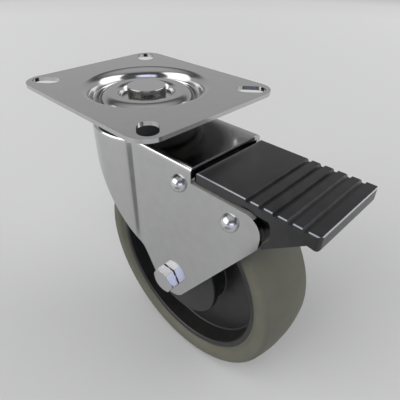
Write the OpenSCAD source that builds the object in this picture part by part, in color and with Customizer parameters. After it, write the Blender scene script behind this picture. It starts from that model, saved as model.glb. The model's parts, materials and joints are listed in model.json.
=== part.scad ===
// Swivel castor: pressed steel bracket on a slotted plate, rubber-tyred wheel on ball bearings,
// and a foot pedal that brakes the tyre and locks the swivel head.
// The origin is on the swivel axis at the plate's top face. +Z is up and +X points to the pedal.

/* [Top plate] */
// Length of the plate along X
plate_len = 100; // [92:1:110]
// Width of the plate along Y
plate_wid = 85; // [80:1:95]
// Sheet thickness of the plate
plate_t = 1.9; // [1.6:0.1:2.2]
// Corner radius of the plate
plate_corner_r = 10.5; // [8:0.5:12]
// Width of each fixing slot
slot_w = 9; // [7:0.5:10]
// Innermost bolt position in a slot, from the swivel axis
slot_in = 49.3; // [47:0.1:50]
// Outermost bolt position in a slot, from the swivel axis
slot_out = 54.5; // [52:0.1:55]
// Angle of the slots from the X axis
slot_angle = 38.3; // [37:0.1:40]
// Distance from the fork's apron out to the edge of the pressed dish
dish_margin = 3.6; // [3:0.1:4.2]
// Depth of the ring-shaped groove of the dish
groove_depth = 6.4; // [6:0.1:7]
// Depth of the top of the ridge that the upper balls run under
ridge_depth = 2.4; // [2:0.1:3]
// Width of the level part of that ridge
ridge_flat_w = 2.4; // [2:0.1:2.8]
// Depth of the floor round the kingpin
floor_depth = 5.5; // [5.2:0.1:5.8]

/* [Swivel head] */
// Diameter of the kingpin's head
kingpin_head_d = 19; // [17:0.5:21]
// Diameter of the kingpin's shank
kingpin_d = 12; // [10:0.5:13]
// Depth of the kingpin's flat top below the plate's top face
kingpin_sink = 0.1; // [0.05:0.05:1]
// Diameter of the upper balls
upper_ball_d = 7.14; // [6.5:0.02:7.8]
// Thickness of the upper race under its balls
upper_race_floor = 4; // [3:0.1:4.6]
// Diameter of the lower balls
lower_ball_d = 4; // [3.6:0.1:4.2]
// Pitch radius of the lower balls
lower_pitch_r = 12.5; // [12:0.1:13]
// Thickness of the lower race under its balls
lower_race_floor = 1.8; // [1.4:0.1:2.2]
// Thickness of the toothed lock ring
lock_ring_t = 2.2; // [1.8:0.1:2.6]
// Outer radius of the lock ring
lock_ring_r = 22; // [21:0.1:22.5]
// Number of notches in the lock ring
lock_notches = 24; // [20:4:28]
// Width across the flats of the kingpin's nut
kingpin_nut_af = 19; // [17:1:21]
// Height of the kingpin's nut
kingpin_nut_h = 4.4; // [3:0.2:4.8]

/* [Fork] */
// Width of the fork over its legs
fork_wid = 46.4; // [45:0.2:48]
// Sheet thickness of the fork
fork_t = 2.4; // [2.2:0.1:2.8]
// Radius of the round apron about the swivel axis
apron_r = 28.8; // [28:0.1:30]
// Outer bend radius along the fork's top edges
bend_r = 2.5; // [2:0.1:3]
// Radius of the hollow blend between apron and legs
blend_r = 6; // [4:0.5:8]
// Rear end of the fork's top
fork_back_x = 55; // [54.4:0.1:55.4]
// Depth of the step from the fork's top down to the edge under the pedal
leg_step = 7.3; // [7:0.1:7.6]
// Place along X of the centre of the leg's rounded rear end
nose_x = 83.6; // [82.6:0.1:84]
// Radius of the leg's rounded rear end
nose_r = 8; // [7.6:0.1:8.2]
// Radius of the leg's rounding about the axle
tip_r = 12; // [11:0.1:13]
// Height at which the apron's front edge ends, below the plate's top
visor_z = 36; // [34:0.5:40]
// Place along X where the cut of the front edge meets the flat leg
kink_x = 17.2; // [16.5:0.1:18]
// Depth of that place below the plate's top
kink_z = 80.5; // [79:0.5:82]

/* [Axle] */
// Offset of the axle from the swivel axis
axle_x = 37.9; // [37:0.1:38.5]
// Depth of the axle below the plate's top
axle_z = 90.5; // [90:0.1:91]
// Diameter of the axle bolt
bolt_d = 8; // [6:0.5:8]
// Width across the flats of the bolt's head and nut
bolt_af = 13; // [12:0.5:14]
// Height of the bolt's head
bolt_head_h = 5.3; // [4:0.1:6.5]
// Height of the lock nut
axle_nut_h = 8; // [6.5:0.1:9]
// Wall of the sleeve round the bolt
sleeve_wall = 1.8; // [1.5:0.1:2.2]

/* [Wheel] */
// Diameter of the wheel over the tyre
wheel_d = 125; // [122:0.5:125.6]
// Width of the tyre
tyre_w = 34; // [31:0.5:34.4]
// Thickness of the tyre over the rim
tyre_t = 12.5; // [10:0.5:14]
// Radius of the tread's crown across the tyre
crown_r = 61; // [50:1:90]
// Width of the rim over its flanges
rim_w = 29.6; // [28:0.2:30.4]
// Thickness of the rim's barrel
rim_wall = 1.9; // [1.5:0.1:3]
// Thickness of the wheel's web
web_t = 9.4; // [7:0.2:11]
// Radius of the wheel's hub
hub_r = 24.6; // [22:0.1:25.5]
// Outside diameter of each ball bearing
bearing_od = 28; // [27:0.5:30]
// Width of each ball bearing
bearing_w = 8; // [7:0.1:9]
// Number of balls in each bearing
bearing_balls_n = 9; // [7:1:9]

/* [Brake] */
// Place along X of the pin that carries the swivel lock
lock_pin_x = 47.6; // [47.2:0.1:48]
// Depth of that pin below the plate's top
lock_pin_z = 26; // [25.8:0.1:26.1]
// Diameter of that pin
lock_pin_d = 4.4; // [4:0.1:4.6]
// Place along X of the pin that carries the pedal
pedal_pin_x = 76.8; // [76.4:0.1:77]
// Depth of the pedal's pin below the plate's top
pedal_pin_z = 31.2; // [31:0.1:31.4]
// Diameter of the pedal's pin
pedal_pin_d = 6; // [5:0.2:6.4]
// Diameter of the round rivet heads
rivet_head_d = 8.6; // [8:0.1:10]
// Height of the round rivet heads
rivet_head_h = 3.6; // [2:0.1:4]
// Swing of the pedal from released to locked
pedal_swing = 10; // [8:1:10]
// Swing of the swivel lock that goes with it
lock_swing = 3.9; // [3:0.1:4.1]
// Thickness of the lever's and the lock's steel sheet
brake_t = 2; // [1.6:0.1:2.2]

/* [Pedal] */
// Width of the pedal
pedal_wid = 43.6; // [43:0.2:44]
// Front end of the pedal
pedal_front_x = 56.8; // [56.4:0.1:57.4]
// Rear end of the pedal
pedal_back_x = 113.7; // [110:0.1:118]
// Depth of the pedal's top face below the plate's top
pedal_top_z = 17.7; // [17:0.1:18]
// Height of the pedal's end, from its top face down to the lip
pedal_end_h = 6.3; // [5.9:0.1:6.8]
// Wall of the pedal's moulding
pedal_wall = 2.2; // [1.8:0.1:2.6]
// Thickness of the pedal's top
pedal_top_t = 2.8; // [2.4:0.1:3]
// Distance from the pedal's front end to its first tread groove
groove_start = 25.3; // [24:0.1:26]
// Number of tread grooves across the pedal
groove_n = 5; // [3:1:5]
// Pitch of the tread grooves
groove_pitch = 6.05; // [5:0.05:6.4]
// Width of each tread groove
groove_w = 2.5; // [1.5:0.1:3]
// Depth of each tread groove
tread_depth = 1.3; // [0.5:0.1:1.6]

/* [Hidden] */
$fn = 96;
// A length that reaches past any cut
past = 1;
// Gap between a rolling ball and the race that belongs to the other body
ball_gap = 0.15;
// Least gap between two neighbours in a ring of balls
ball_space = 0.15;
// Radial clearance of a pin that turns in its hole
run_gap = 0.06;
// Gap between flat or curved faces of pieces that move past each other
slide_gap = 0.3;
// Clearance of a fixed pin in its hole
fit_gap = 0.05;
// Small overlap of curves that run into each other, so that they cross instead of only touching
seam = 0.03;

// Radii of the plate's pressed curves, top side, and the slopes of the two walls between them
rim_curve_r = 5;
rim_wall_angle = 74;
groove_curve_r = 1.6;
ridge_curve_r = 7;
crest_curve_r = plate_t + 0.6;
floor_wall_angle = 70;
floor_curve_r = 0.5;
ridge_angle = acos(1 - (groove_depth - ridge_depth) / (groove_curve_r + ridge_curve_r));
// Heights at which each wall leaves its upper curve and meets its lower one
rim_wall_top_z = -rim_curve_r * (1 - cos(rim_wall_angle));
rim_wall_low_z = -groove_depth + groove_curve_r * (1 - cos(rim_wall_angle));
floor_wall_top_z = -ridge_depth - crest_curve_r * (1 - cos(floor_wall_angle));
floor_wall_low_z = -floor_depth + floor_curve_r * (1 - cos(floor_wall_angle));
// Centres of those curves, from the rim inwards, as [radius, z]
rim_c = [apron_r + dish_margin, -rim_curve_r];
groove_c = [
    rim_c[0] - (rim_curve_r + groove_curve_r) * sin(rim_wall_angle)
        - (rim_wall_top_z - rim_wall_low_z) / tan(rim_wall_angle),
    -groove_depth + groove_curve_r
];
ridge_c = [
    groove_c[0] - (groove_curve_r + ridge_curve_r) * sin(ridge_angle),
    -ridge_depth - ridge_curve_r
];
crest_c = [ridge_c[0] - ridge_flat_w, -ridge_depth - crest_curve_r];
floor_c = [
    crest_c[0] - (crest_curve_r + floor_curve_r) * sin(floor_wall_angle)
        - (floor_wall_top_z - floor_wall_low_z) / tan(floor_wall_angle),
    -floor_depth + floor_curve_r
];

// Swivel head, from the plate down
upper_pitch_r = ridge_c[0];
upper_ball_z = -ridge_depth - plate_t - ball_gap - upper_ball_d / 2;
upper_race_lip = 0.8;
fork_top_z = upper_ball_z - upper_ball_d / 2 - upper_race_floor;
fork_under_z = fork_top_z - fork_t;
head_hole_r = 9.2;
lower_ball_z = fork_under_z - ball_gap - lower_ball_d / 2;
lower_race_lip = 1.2;
lower_race_top_z = lower_ball_z - lower_ball_d / 2 + lower_race_lip;
lock_ring_top_z = lower_ball_z - lower_ball_d / 2 - lower_race_floor;
lock_ring_low_z = lock_ring_top_z - lock_ring_t;
kingpin_end_h = 0.8;
kingpin_low_z = lock_ring_low_z - kingpin_nut_h - kingpin_end_h;
race_half_w = upper_ball_d * 0.7;
seal_r_out = apron_r - bend_r - 0.1;
seal_wall = 1.5;
seal_top_z = -groove_depth - plate_t - 0.4;

// Fork
leg_y = fork_wid / 2;
leg_in_y = leg_y - fork_t;
leg_top_z = fork_top_z - leg_step;
axle = [axle_x, -axle_z];
kink = [kink_x, -kink_z];
nose = [nose_x, leg_top_z - nose_r + seam];
corner_r = 1.8;
// Slope of the leg's rear edge from the X axis
rear_slope = 54.6;
rear_out = [sin(rear_slope), -cos(rear_slope)];
rear_along = [cos(rear_slope), sin(rear_slope)];
tip_rear = axle + (tip_r - seam) * rear_out;
// The corner's place along the rear edge, measured from its touch on the tip circle
corner_run = 74.4;
corner_c = tip_rear + corner_run * rear_along - (corner_r - seam) * rear_out;
// Angle of the short edge from the corner to the nose, as the direction of its outward normal
nose_axis = atan2(corner_c[1] - nose[1], corner_c[0] - nose[0]);
nose_gap = norm(corner_c - nose);
nose_normal = nose_axis + acos((nose_r - corner_r) / nose_gap);
nose_out = [cos(nose_normal), sin(nose_normal)];
// Front edge: from the kink to its touch on the tip circle
kink_gap = norm(axle - kink);
front_slope = atan2(axle[1] - kink[1], axle[0] - kink[0]) - asin(tip_r / kink_gap);
front_along = [cos(front_slope), sin(front_slope)];
front_out = [sin(front_slope), -cos(front_slope)];
tip_front = axle + (tip_r - seam) * front_out;
visor_curve_r = 9;
// Meeting of the slanted front edge and the level visor edge
visor_meet = kink - front_along * ((kink[1] + visor_z) / sin(front_slope));
visor_trim = visor_curve_r * tan(-front_slope / 2);
visor_c = [visor_meet[0] - visor_trim, -visor_z - visor_curve_r];
axle_hole_r = bolt_d / 2 + 0.15;
// A place behind everything that belongs to the legs
behind_legs_x = max(nose_x + nose_r, corner_c[0] + corner_r) + past;

// Wheel
wheel_r = wheel_d / 2;
sleeve_r = bolt_d / 2 + 0.2 + sleeve_wall;
bearing_r = bearing_od / 2;
bearing_pitch_r = (sleeve_r + bearing_r) / 2;
bearing_ball_d = (bearing_r - sleeve_r) * 0.56;
inner_ring_r = bearing_pitch_r - bearing_ball_d * 0.3;
outer_ring_r = bearing_pitch_r + bearing_ball_d * 0.3;
hub_half = rim_w / 2;
bearing_out_y = hub_half + 0.1;
guard_gap = 0.7;
guard_t = 1.1;
guard_rim_t = 1.1;
guard_clear = 1.3;
guard_r = hub_r + guard_clear + guard_rim_t;
guard_in_y = hub_half + guard_gap;
guard_out_y = guard_in_y + guard_t;
seat_r = wheel_r - tyre_t;
flange_r = seat_r + 1;
flange_t = 2;
barrel_r = seat_r - rim_wall;
fillet_r = 1.2;
web_y = web_t / 2;
hub_fillet_r = 1;
// Width of the shoulder that each bearing stops against
bearing_stop = 1.6;
hub_edge = 0.5;
// How much wider the barrel is at its mouth than at the web
barrel_draft = 1.1;
barrel_edge = 0.6;
tyre_side_y = tyre_w / 2;
shoulder_r = 3;
crown_angle = asin((tyre_side_y - shoulder_r) / (crown_r - shoulder_r));
shoulder_c = [
    wheel_r - crown_r + (crown_r - shoulder_r) * cos(crown_angle), tyre_side_y - shoulder_r
];
bulge_r = 5;
bulge_angle = 180 - asin((hub_half - tyre_side_y + bulge_r) / bulge_r);

// Brake
lock_pin = [lock_pin_x, -lock_pin_z];
pedal_pin = [pedal_pin_x, -pedal_pin_z];
cheek_out_y = leg_in_y - 1.5;
cheek_in_y = cheek_out_y - brake_t;
boss_out_y = leg_in_y - slide_gap;
lever_top_z = -pedal_top_z - pedal_top_t;
// The lift bar raises the tail of the lock plate as the pedal goes down
lift_bar_r = 1.2;
lift_bar = pedal_pin + [-8.6, 4.1];
tail_low_z = lift_bar[1] + lift_bar_r + 0.2;
tail_end_x = pedal_pin_x - 5.6;
lock_low_z = lock_pin[1] + lock_pin_d / 2 + 1.1;
lock_tooth_w = 2.2;
lock_notch_w = 3;
lock_notch_r = lock_ring_r - 3.8;
// How deep the lock's swing drops its teeth into the notches, and so how high they hang at rest
lock_tooth_depth = 1.2;
lock_tooth_gap = (lock_pin_x - lock_notch_r) * sin(lock_swing) - lock_tooth_depth;
lock_cheek_r = 4.4;
lock_cheek_in_y = tyre_side_y + 0.6;
lock_cheek_out_y = lock_cheek_in_y + brake_t;
// Brake shoe: below the pedal's pin, and set to stop just off the tyre when the pedal is down
shoe_r = 4;
shoe_reach = 11.5;
wheel_dir = atan2(axle[1] - pedal_pin[1], axle[0] - pedal_pin[0]);
wheel_gap = norm(axle - pedal_pin);
shoe_swing = acos((wheel_gap * wheel_gap + shoe_reach * shoe_reach - pow(wheel_r + shoe_r * 0.55, 2))
    / (2 * wheel_gap * shoe_reach));
shoe_angle = wheel_dir + shoe_swing + pedal_swing;
shoe_c = pedal_pin + shoe_reach * [cos(shoe_angle), sin(shoe_angle)];
wheel_dir_down = wheel_dir + pedal_swing;
wheel_down_c = pedal_pin + wheel_gap * [cos(wheel_dir_down), sin(wheel_dir_down)];
// Lever: a channel that lies under the pedal's top, between its front wall and its end
lever_front_x = pedal_front_x + pedal_wall + 0.6;
lever_end_inset = 9.5;
lever_back_x = pedal_back_x - lever_end_inset;
lever_flange_h = 1.5;
lever_pin_boss_r = 7;
lever_bar_boss_r = 2.6;
// The cheek's outline beside the pin: its back corner and the width of the neck in front
lever_back_corner = [12, 2.5];
lever_neck = 7;

// Pedal
pedal_y = pedal_wid / 2;
cover_in_y = cheek_out_y + 0.2;
cover_low_z = leg_top_z + 0.4;
lip_r = 1.1;
lip_c = [pedal_back_x - lip_r, -pedal_top_z - pedal_end_h + lip_r];
// Corners of the skirt's slanted lower edge: the deep one behind the pin and the one in front of the lip
skirt_low_reach = 15.3;
skirt_low_drop = 5.2;
skirt_low = pedal_pin + [skirt_low_reach, -skirt_low_drop];
skirt_high_inset = 4.5;
skirt_high_rise = 0.5;
skirt_high = [pedal_back_x - skirt_high_inset, -pedal_top_z - pedal_end_h + skirt_high_rise];
// Where the lip's curve ends in the straight line to the skirt
lip_end_angle = atan2(skirt_high[1] - lip_c[1], skirt_high[0] - lip_c[0])
    + acos(lip_r / norm(skirt_high - lip_c));
recess_r = norm(corner_c - pedal_pin) + corner_r + 0.5;
bay_r = 9.5;
bay_c = pedal_pin + [8.5, 3.7];
edge_chamfer = 0.4;
plan_corner_r = 2;
first_groove_x = pedal_front_x + groove_start;
// Run of each groove's sloping wall, the one that faces the pedal's end
groove_run = 0.6;

// Points of an arc about c from angle a0 to a1 in n steps
function arc_points(c, r, a0, a1, n) =
    [for (i = [0:n]) c + r * [cos(a0 + (a1 - a0) * i / n), sin(a0 + (a1 - a0) * i / n)]];

// The plate's pressed curve at a depth below its top side, from the outside in, as [radius, z]
function dish_curve(depth) = concat(
    [[plate_len, -depth]],
    arc_points(rim_c, rim_curve_r - depth, 90, 90 + rim_wall_angle, 10),
    arc_points(groove_c, groove_curve_r + depth, rim_wall_angle - 90, -90 - ridge_angle, 14),
    arc_points(ridge_c, ridge_curve_r - depth, 90 - ridge_angle, 90, 8),
    arc_points(crest_c, crest_curve_r - depth, 90, 90 + floor_wall_angle, 7),
    arc_points(floor_c, floor_curve_r + depth, floor_wall_angle - 90, -90, 4),
    [[kingpin_d / 2 + fit_gap, -floor_depth - depth]]
);

// How many balls a ring holds when it is full
function full_ring(pitch_r, d) = floor(180 / asin((d + ball_space) / (2 * pitch_r)));

function reversed(list) = [for (i = [len(list) - 1:-1:0]) list[i]];

// A half section and its mirror image on the near side, as one closed outline
function with_near_side(half) = concat(half, reversed([for (p = half) [p[0], -p[1]]]));

// Lays an outline drawn in X and Z flat between two places along Y
module plate_between(y0, y1) {
    translate([0, y1, 0])
        rotate([90, 0, 0])
            linear_extrude(height = y1 - y0)
                children();
}

// The same on both sides of the middle, mirrored
module both_sides() {
    children();
    mirror([0, 1, 0]) children();
}

// Turns an outline drawn as [radius, y] about the axle
module about_axle() {
    translate([axle[0], 0, axle[1]])
        rotate([-90, 0, 0])
            rotate_extrude()
                children();
}

module rounded_plan(len_x, len_y, r) {
    square([len_x - 2 * r, len_y], center = true);
    square([len_x, len_y - 2 * r], center = true);
    for (sx = [-1, 1])
        for (sy = [-1, 1])
            translate([sx * (len_x / 2 - r), sy * (len_y / 2 - r)]) circle(r);
}

module fixing_slot(angle) {
    rotate([0, 0, angle]) {
        for (r = [slot_in, slot_out])
            translate([r, 0, -plate_t - past]) cylinder(d = slot_w, h = plate_t + 2 * past);
        translate([slot_in, -slot_w / 2, -plate_t - past])
            cube([slot_out - slot_in, slot_w, plate_t + 2 * past]);
    }
}

// Pressed sheet plate with a dish for the ball race and four slots that run out to its corners
module top_plate() {
    color("silver")
        difference() {
            intersection() {
                rotate_extrude() polygon(concat(dish_curve(0), reversed(dish_curve(plate_t))));
                translate([0, 0, -groove_depth - plate_t - past])
                    linear_extrude(height = groove_depth + plate_t + 2 * past)
                        rounded_plan(plate_len, plate_wid, plate_corner_r);
            }
            for (side = [0, 180])
                for (lean = [-1, 1])
                    fixing_slot(side + lean * slot_angle);
        }
}

// Round pin with a flat head in the dish, through the whole swivel head
module kingpin() {
    head_r = kingpin_head_d / 2;
    head_chamfer = 0.2;
    end_chamfer = 0.6;
    top = -kingpin_sink;
    color("silver")
        rotate_extrude()
            polygon([
                [0, kingpin_low_z], [kingpin_d / 2 - end_chamfer, kingpin_low_z],
                [kingpin_d / 2, kingpin_low_z + end_chamfer], [kingpin_d / 2, -floor_depth],
                [head_r, -floor_depth], [head_r, top - head_chamfer],
                [head_r - head_chamfer, top], [0, top]
            ]);
}

// Hexagon whose outer corners are turned off at an angle, down from a round face
module hex_prism(af, h) {
    face_r = af / 2 * 0.94;
    turned_angle = 30;
    intersection() {
        cylinder(r = af / sqrt(3), h = h, $fn = 6);
        rotate_extrude()
            polygon([[0, 0], [af, 0], [af, h - (af - face_r) * tan(turned_angle)], [face_r, h], [0, h]]);
    }
}

// Nut that holds the swivel head together
module kingpin_nut() {
    color("silver")
        difference() {
            translate([0, 0, lock_ring_low_z])
                mirror([0, 0, 1]) hex_prism(kingpin_nut_af, kingpin_nut_h);
            translate([0, 0, lock_ring_low_z - kingpin_nut_h - past])
                cylinder(r = kingpin_d / 2 + fit_gap, h = kingpin_nut_h + 2 * past);
        }
}

// Ring with the groove that the lower balls run in
module lower_race() {
    groove_r = lower_ball_d / 2 + 0.05;
    color("silver")
        rotate_extrude()
            difference() {
                translate([kingpin_d / 2 + fit_gap, lock_ring_top_z])
                    square([
                        lower_pitch_r + lower_ball_d * 0.8 - kingpin_d / 2 - fit_gap,
                        lower_race_top_z - lock_ring_top_z
                    ]);
                translate([lower_pitch_r, lower_ball_z + 0.05]) circle(groove_r);
            }
}

// Toothed ring on the kingpin: the swivel lock drops into its notches
module lock_ring() {
    color("silver")
        difference() {
            translate([0, 0, lock_ring_low_z]) cylinder(r = lock_ring_r, h = lock_ring_t);
            translate([0, 0, lock_ring_low_z - past])
                cylinder(r = kingpin_d / 2 + fit_gap, h = lock_ring_t + 2 * past);
            for (i = [0:lock_notches - 1])
                rotate([0, 0, i * 360 / lock_notches])
                    translate([lock_notch_r, -lock_notch_w / 2, lock_ring_low_z - past])
                        cube([lock_ring_r, lock_notch_w, lock_ring_t + 2 * past]);
        }
}

// Solid outline of the fork, drawn in by an inset: apron, legs and the blends between them
module fork_block(inset) {
    round_r = max(bend_r - inset, 0.2);
    front_r = apron_r - inset;
    half = leg_y - inset;
    top = fork_top_z - inset;
    low = -axle_z - tip_r - past;
    hollow_r = blend_r + inset + seam;
    hollow_x = sqrt(pow(apron_r + blend_r, 2) - pow(leg_y + blend_r, 2));
    rotate_extrude() {
        translate([0, low]) square([front_r, top - round_r - low]);
        translate([0, low]) square([front_r - round_r, top - low]);
        translate([front_r - round_r, top - round_r]) circle(round_r);
    }
    rotate([90, 0, 90])
        linear_extrude(height = behind_legs_x) {
            translate([-half, low]) square([2 * half, top - round_r - low]);
            translate([-half + round_r, low]) square([2 * (half - round_r), top - low]);
            for (s = [-1, 1])
                translate([s * (half - round_r), top - round_r]) circle(round_r);
        }
    both_sides()
        difference() {
            translate([0, -leg_y - blend_r, low])
                cube([hollow_x, blend_r + bend_r + inset + seam, top - low]);
            translate([hollow_x, -leg_y - blend_r, 0])
                rotate_extrude() {
                    translate([0, low - past]) square([hollow_r, top + past - low + past]);
                    translate([hollow_r, top - round_r])
                        difference() {
                            square([round_r, round_r + past]);
                            translate([round_r, 0]) circle(round_r);
                        }
                }
            blend_outside(inset, low, top, hollow_x);
        }
}

// What lies outside the line from the swivel axis to the hollow's centre, on the apron's side
module blend_outside(inset, low, top, hollow_x) {
    side = atan2(-leg_y - blend_r, hollow_x);
    rotate([0, 0, side])
        translate([0, -2 * apron_r, low - past])
            cube([4 * apron_r, 2 * apron_r, top - low + 3 * past]);
}

// Side view of the fork: apron, leg, rounded tip about the axle and rounded rear end
module leg_outline() {
    above = fork_top_z + past;
    front = -apron_r - past;
    polygon(concat(
        [[front, above], [front, -visor_z]],
        arc_points(visor_c, visor_curve_r, 90, 90 + front_slope, 6),
        [
            tip_front, axle, tip_rear, corner_c + (corner_r - seam) * rear_out, corner_c,
            corner_c + (corner_r - seam) * nose_out, nose + (nose_r - seam) * nose_out, nose,
            [nose[0], leg_top_z], [fork_back_x, leg_top_z], [fork_back_x, above]
        ]
    ));
    translate(axle) circle(tip_r);
    translate(corner_c) circle(corner_r);
    translate(nose) circle(nose_r);
}

// Pressed sheet fork: level top, round apron in front and two flat legs
module fork() {
    color("silver")
        difference() {
            intersection() {
                difference() {
                    fork_block(0);
                    fork_block(fork_t);
                }
                plate_between(-apron_r - past, apron_r + past) leg_outline();
            }
            translate([0, 0, fork_under_z - past]) cylinder(r = head_hole_r, h = fork_t + 2 * past);
            through_legs(axle, axle_hole_r);
            through_legs(lock_pin, lock_pin_d / 2 + fit_gap);
            through_legs(pedal_pin, pedal_pin_d / 2 + fit_gap);
        }
}

// Hole through both legs at a place in X and Z
module through_legs(at, r) {
    translate([at[0], leg_y + past, at[1]])
        rotate([90, 0, 0]) cylinder(r = r, h = fork_wid + 2 * past);
}

// Hardened ring on the fork's top that the upper balls run in
module upper_race() {
    color("silver")
        rotate_extrude()
            difference() {
                translate([upper_pitch_r - race_half_w, fork_top_z])
                    square([2 * race_half_w, upper_race_floor + upper_race_lip]);
                translate([upper_pitch_r, upper_ball_z + 0.05]) circle(upper_ball_d / 2 + 0.05);
            }
}

module ball_ring(count, pitch_r, z, d) {
    for (i = [0:count - 1])
        rotate([0, 0, i * 360 / count]) translate([pitch_r, 0, z]) sphere(d = d);
}

module upper_balls() {
    count = full_ring(upper_pitch_r, upper_ball_d);
    color("gainsboro") ball_ring(count, upper_pitch_r, upper_ball_z, upper_ball_d);
}

module lower_balls() {
    count = full_ring(lower_pitch_r, lower_ball_d);
    color("gainsboro") ball_ring(count, lower_pitch_r, lower_ball_z, lower_ball_d);
}

// Rubber ring round the upper balls, on the fork's top
module dust_seal() {
    lip_w = 0.4;
    lip_h = 0.6;
    color("dimgray")
        rotate_extrude()
            polygon([
                [seal_r_out - seal_wall, fork_top_z], [seal_r_out, fork_top_z],
                [seal_r_out, seal_top_z - lip_h], [seal_r_out - lip_w, seal_top_z],
                [seal_r_out - seal_wall, seal_top_z]
            ]);
}

// Places a shape drawn along Z on the axle, pointing to the near side
module on_axle(y) {
    translate([axle[0], y, axle[1]]) rotate([90, 0, 0]) children();
}

// Hexagon-headed bolt through both legs, with a round bearing face under its head
module axle_bolt() {
    face_h = 0.5;
    face_r = bolt_af * 0.46;
    thread_past = 1.5;
    end_y = leg_y + axle_nut_h + thread_past;
    color("silver") {
        on_axle(-leg_y) cylinder(r = face_r, h = face_h);
        on_axle(-leg_y - face_h) hex_prism(bolt_af, bolt_head_h - face_h);
        on_axle(end_y) cylinder(d = bolt_d, h = end_y + leg_y);
    }
}

module axle_nut() {
    collar_h = axle_nut_h * 0.2;
    collar_r = bolt_af * 0.42;
    color("silver")
        translate([axle[0], leg_y, axle[1]])
            rotate([-90, 0, 0])
                difference() {
                    union() {
                        hex_prism(bolt_af, axle_nut_h - collar_h);
                        cylinder(r = collar_r, h = axle_nut_h);
                    }
                    translate([0, 0, -past])
                        cylinder(r = bolt_d / 2 + fit_gap, h = axle_nut_h + 2 * past);
                }
}

// Steel tube clamped between the legs, which the bearings sit on
module axle_sleeve() {
    color("silver")
        about_axle()
            translate([bolt_d / 2 + 0.2, -leg_in_y]) square([sleeve_wall, 2 * leg_in_y]);
}

// Dished disc beside the hub that keeps threads out of the bearing
module thread_guard() {
    spacer_wall = 3;
    rim_reach = 1.6;
    edge = 0.5;
    hub_out = sleeve_r + spacer_wall;
    color("dimgray")
        about_axle()
            polygon([
                [sleeve_r + fit_gap, bearing_out_y], [inner_ring_r, bearing_out_y],
                [hub_out, guard_in_y], [hub_r + guard_clear, guard_in_y],
                [hub_r + guard_clear, hub_half - rim_reach], [guard_r, hub_half - rim_reach],
                [guard_r, guard_out_y - edge], [guard_r - edge, guard_out_y],
                [hub_out, guard_out_y], [hub_out, leg_in_y], [sleeve_r + fit_gap, leg_in_y]
            ]);
}

module thread_guard_near() {
    mirror([0, 1, 0]) thread_guard();
}

module thread_guard_far() {
    thread_guard();
}

// Race ring between two radii, with a ball groove of the given radius
module bearing_ring(r0, r1, groove_r) {
    mid = bearing_out_y - bearing_w / 2;
    color("silver")
        about_axle()
            difference() {
                translate([r0, bearing_out_y - bearing_w]) square([r1 - r0, bearing_w]);
                translate([bearing_pitch_r, mid]) circle(groove_r);
            }
}

module bearing_inner_far() {
    bearing_ring(sleeve_r + fit_gap / 2, inner_ring_r, bearing_ball_d / 2 + ball_gap);
}

module bearing_inner_near() {
    mirror([0, 1, 0]) bearing_inner_far();
}

module bearing_outer_far() {
    bearing_ring(outer_ring_r, bearing_r, bearing_ball_d / 2 + 0.02);
}

module bearing_outer_near() {
    mirror([0, 1, 0]) bearing_outer_far();
}

module bearing_balls_far() {
    mid = bearing_out_y - bearing_w / 2;
    color("gainsboro")
        translate([axle[0], mid, axle[1]])
            rotate([-90, 0, 0]) ball_ring(bearing_balls_n, bearing_pitch_r, 0, bearing_ball_d);
}

module bearing_balls_near() {
    mirror([0, 1, 0]) bearing_balls_far();
}

// Thin rubber rings that close both sides of both bearings
module bearing_seals() {
    seal_t = 0.8;
    color("black")
        both_sides()
            for (y = [bearing_out_y - seal_t - 0.2, bearing_out_y - bearing_w + 0.2])
                about_axle()
                    translate([inner_ring_r + 0.2, y])
                        square([outer_ring_r - inner_ring_r - 0.2, seal_t]);
}

// Half section of the wheel body, as [radius, y], from the hub's bore out over its far side
function rim_half() =
    concat(
        [
            [bearing_r - bearing_stop, bearing_out_y - bearing_w],
            [bearing_r + fit_gap / 2, bearing_out_y - bearing_w],
            [bearing_r + fit_gap / 2, hub_half], [hub_r - hub_edge, hub_half],
            [hub_r, hub_half - hub_edge]
        ],
        arc_points([hub_r + hub_fillet_r, web_y + hub_fillet_r], hub_fillet_r, 180, 270, 6),
        arc_points([barrel_r - barrel_draft - fillet_r, web_y + fillet_r], fillet_r, 270, 360, 6),
        [
            [barrel_r, hub_half - barrel_edge], [barrel_r + barrel_edge, hub_half],
            [flange_r, hub_half], [flange_r, hub_half - flange_t],
            [seat_r, hub_half - flange_t]
        ]
    );

// Moulded wheel body: hub with bearing seats, web and barrel with a flange on each side
module rim() {
    color([0.16, 0.16, 0.16])
        about_axle() polygon(with_near_side(rim_half()));
}

// Half section of the tyre, as [radius, y], from its seat out over its far side
function tyre_half() =
    concat(
        [
            [seat_r, hub_half - flange_t], [flange_r, hub_half - flange_t], [flange_r, hub_half]
        ],
        arc_points([flange_r + bulge_r, tyre_side_y - bulge_r], bulge_r, bulge_angle, 90, 6),
        arc_points(shoulder_c, shoulder_r, 90, crown_angle, 8),
        arc_points([wheel_r - crown_r, 0], crown_r, crown_angle * 0.75, crown_angle * 0.25, 2)
    );

// Solid rubber tyre moulded round the wheel body
module tyre() {
    color([0.37, 0.37, 0.31])
        about_axle() polygon(with_near_side(tyre_half()));
}

// Round-headed rivet through both legs at a place in X and Z
module cross_rivet(at, d) {
    dome_r = (pow(rivet_head_d / 2, 2) + pow(rivet_head_h, 2)) / (2 * rivet_head_h);
    color("silver")
        translate([at[0], 0, at[1]])
            rotate([90, 0, 0]) {
                translate([0, 0, -leg_y]) cylinder(d = d, h = fork_wid);
                for (s = [0, 1])
                    mirror([0, 0, s])
                        translate([0, 0, leg_y])
                            rotate_extrude()
                                intersection() {
                                    translate([0, rivet_head_h - dome_r]) circle(dome_r);
                                    square([rivet_head_d / 2, rivet_head_h]);
                                }
            }
}

module lock_pin() {
    cross_rivet(lock_pin, lock_pin_d);
}

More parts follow.
